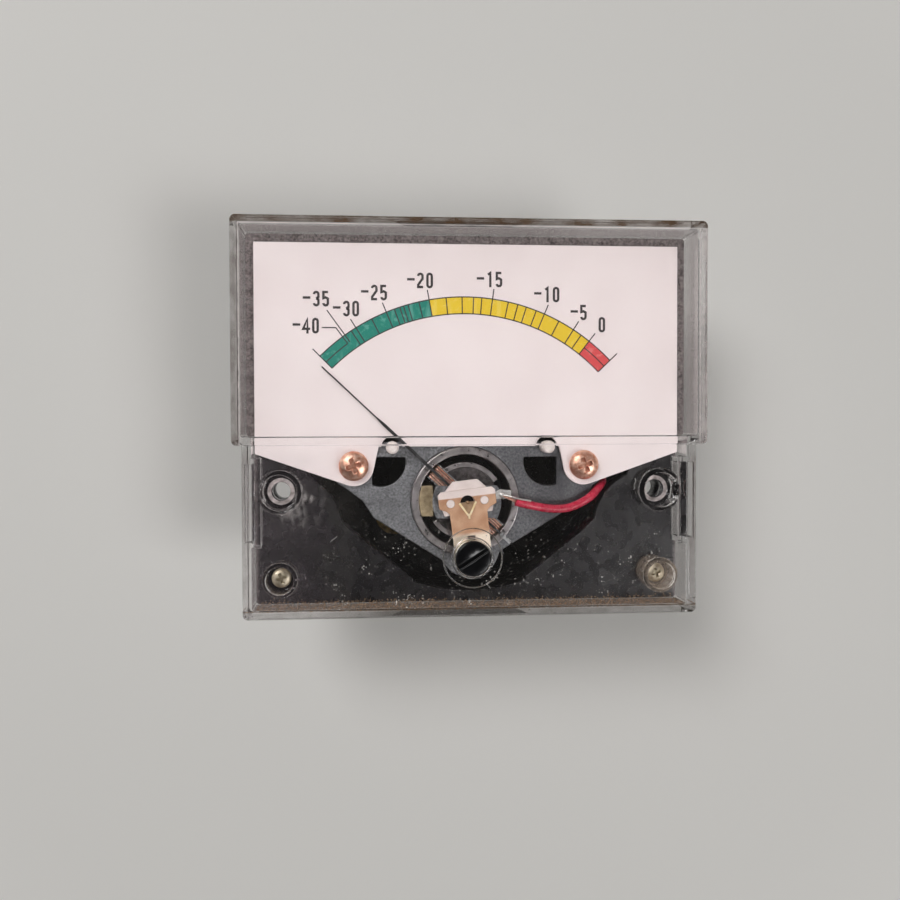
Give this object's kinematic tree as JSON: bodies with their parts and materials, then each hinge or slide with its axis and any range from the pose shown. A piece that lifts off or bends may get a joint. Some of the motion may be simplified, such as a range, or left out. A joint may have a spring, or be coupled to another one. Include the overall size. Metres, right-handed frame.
{
  "type": "dew point meter",
  "caption": "Moving-coil panel meter with a wide clear cover, a dew point scale in coloured bands and an open movement below the dial.",
  "frame": {"origin": "on the barrel's axis, on the plane that seats on the panel", "axes": "+Z the way the dial faces, +Y towards the top of the dial, +X to the right of the dial"},
  "size_m": [0.0888, 0.0742, 0.0425],
  "materials": {
    "clear_acrylic": "polished, lightly scratched and dusty",
    "plated_steel": "dull nickel plate",
    "black_plastic": "glossy moulding",
    "dark_phenolic": "dull moulding with dust",
    "dial_enamel": "flat white paint with a printed scale",
    "copper_plate": "dull copper plate",
    "white_plastic": "plain",
    "grey_zinc": "dull zinc plate",
    "soft_iron": "turned and plated",
    "magnet_alloy": "ground",
    "olive_brass": "tarnished",
    "brass": "dull",
    "cream_plastic": "moulded",
    "tan_bronze": "plain stamped sheet",
    "aluminium_sheet": "plain thin sheet",
    "copper_wire": "enamelled wire",
    "black_paint": "flat black",
    "tinned_metal": "tinned",
    "red_sleeve": "extruded sleeve"
  },
  "bodies": {
    "case": {"front_cover": "clear_acrylic", "cover_screws": "plated_steel", "base": "dark_phenolic", "dial_plate": "dial_enamel", "dial_screws": "copper_plate", "pointer_stops": "white_plastic", "movement_frame": "grey_zinc", "yoke_ring": "soft_iron", "core_magnet": "magnet_alloy", "pole_shoes": "soft_iron", "core_block": "olive_brass", "bridge_posts": "brass", "upper_bridge": "grey_zinc", "lower_bridge": "grey_zinc", "lower_spring": "brass", "lead_lug": "tinned_metal", "lead_solder": "tinned_metal", "red_lead": "red_sleeve", "terminal_studs": "brass", "terminal_washers": "brass", "terminal_nuts": "brass", "return_strap": "brass"},
    "moving_coil": {"coil_former": "aluminium_sheet", "coil_winding": "copper_wire", "pointer": "black_paint", "tail_weight": "aluminium_sheet", "upper_band": "brass", "lower_band": "brass"},
    "zero_adjuster": {"zero_screw": "black_plastic", "zero_clip": "plated_steel"},
    "zero_arm": {"zero_lever": "tan_bronze", "lever_insulator": "cream_plastic", "upper_spring": "brass"}
  },
  "joints": [
    {"name": "pointer_swing", "type": "hinge", "parent": "case", "child": "moving_coil", "pos_m": [-0.00085, -0.0155, 0.006], "axis": [0, 0, -1], "range_deg": [-1.6, 98.3], "stiffness_Nm_per_rad": 0.000006},
    {"name": "zero_turn", "type": "hinge", "parent": "case", "child": "zero_adjuster", "pos_m": [0, -0.02595, 0.0125], "axis": [0, 0, 1], "range_deg": [0, 40.1]},
    {"name": "zero_arm_rock", "type": "hinge", "parent": "case", "child": "zero_arm", "pos_m": [-0.00085, -0.0155, 0.009], "axis": [0, 0, 1], "range_deg": [-7.71, 0]}
  ],
  "couplings": [
    {"joint": "zero_turn", "follows": "zero_arm_rock", "ratio": -5.1881}
  ]
}
